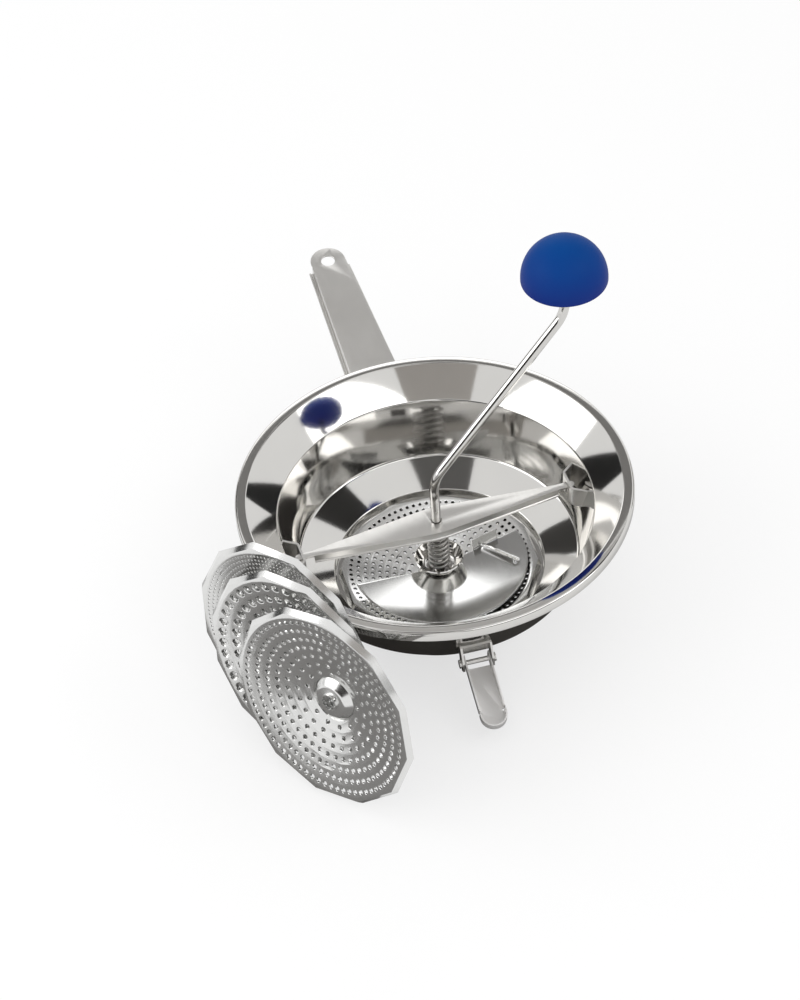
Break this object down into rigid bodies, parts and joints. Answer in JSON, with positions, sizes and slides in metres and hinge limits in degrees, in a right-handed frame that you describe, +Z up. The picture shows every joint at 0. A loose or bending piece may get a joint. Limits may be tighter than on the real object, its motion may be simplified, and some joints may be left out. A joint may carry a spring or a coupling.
{
  "type": "food mill",
  "caption": "Rotary food mill: stepped steel bowl with handle and hinged rest foot, sprung crossbar, bent crank with round knob, half-moon blade, fitted grating disc and loose spare discs.",
  "frame": {"origin": "on the bowl axis in the plane of the bottom ring the mill stands on", "axes": "+Z up along the bowl axis, +Y towards the handle, +X along the crossbar to the right seen from the rest foot"},
  "size_m": [0.2727, 0.41, 0.231],
  "materials": {
    "polished_steel": "mirror-polished stainless sheet",
    "satin_steel": "satin stainless, lightly brushed",
    "tinned_steel": "bright tinned steel, fine satin",
    "spring_steel": "drawn spring wire",
    "knob_plastic": "satin blue moulding"
  },
  "bodies": {
    "bowl": {"bowl": "polished_steel", "handle": "satin_steel", "catch_left": "satin_steel", "catch_right": "satin_steel", "disc_fitted": "tinned_steel", "boss_fitted": "tinned_steel", "foot_bracket": "satin_steel", "foot_pin": "satin_steel"},
    "bar": {"crossbar": "satin_steel", "spring_washer": "satin_steel"},
    "crank": {"crank_rod": "polished_steel", "blade": "polished_steel", "blade_hub": "satin_steel", "drive_pin": "satin_steel", "spring_cup": "satin_steel", "spring": "spring_steel", "knob_snap_ring": "polished_steel"},
    "knob": {"knob": "knob_plastic"},
    "foot": {"foot": "satin_steel"},
    "loose_fine": {"disc_fine": "tinned_steel", "boss_fine": "tinned_steel"},
    "loose_coarse": {"disc_coarse": "tinned_steel", "boss_coarse": "tinned_steel"},
    "loose_medium": {"disc_medium": "tinned_steel", "boss_medium": "tinned_steel"}
  },
  "joints": [
    {"name": "crank_spin", "type": "hinge", "parent": "bowl", "child": "crank", "pos_m": [0, 0, 0], "axis": [0, 0, 1], "continuous": true},
    {"name": "knob_spin", "type": "hinge", "parent": "crank", "child": "knob", "pos_m": [0.09159, 0.01615, 0.205], "axis": [0, 0, 1], "continuous": true},
    {"name": "bar_press", "type": "slide", "parent": "bowl", "child": "bar", "axis": [0, 0, -1], "range_m": [0, 0.011], "stiffness_N_per_m": 800, "springref_m": -0.02, "deforming": ["spring"]},
    {"name": "foot_hinge", "type": "hinge", "parent": "bowl", "child": "foot", "pos_m": [-0.00638, -0.09128, 0.026], "axis": [-0.9976, 0.0698, 0], "range_deg": [-68, 17]},
    {"name": "fine_draw", "type": "slide", "parent": "bowl", "child": "loose_fine", "axis": [-0.4216, 0.7614, 0.4924], "range_m": [0, 0.12]},
    {"name": "coarse_lift", "type": "slide", "parent": "bowl", "child": "loose_coarse", "axis": [0.1428, 0.0989, 0.9848], "range_m": [0, 0.12]},
    {"name": "medium_lift", "type": "slide", "parent": "bowl", "child": "loose_medium", "axis": [0.1428, 0.0989, 0.9848], "range_m": [0, 0.12]}
  ]
}
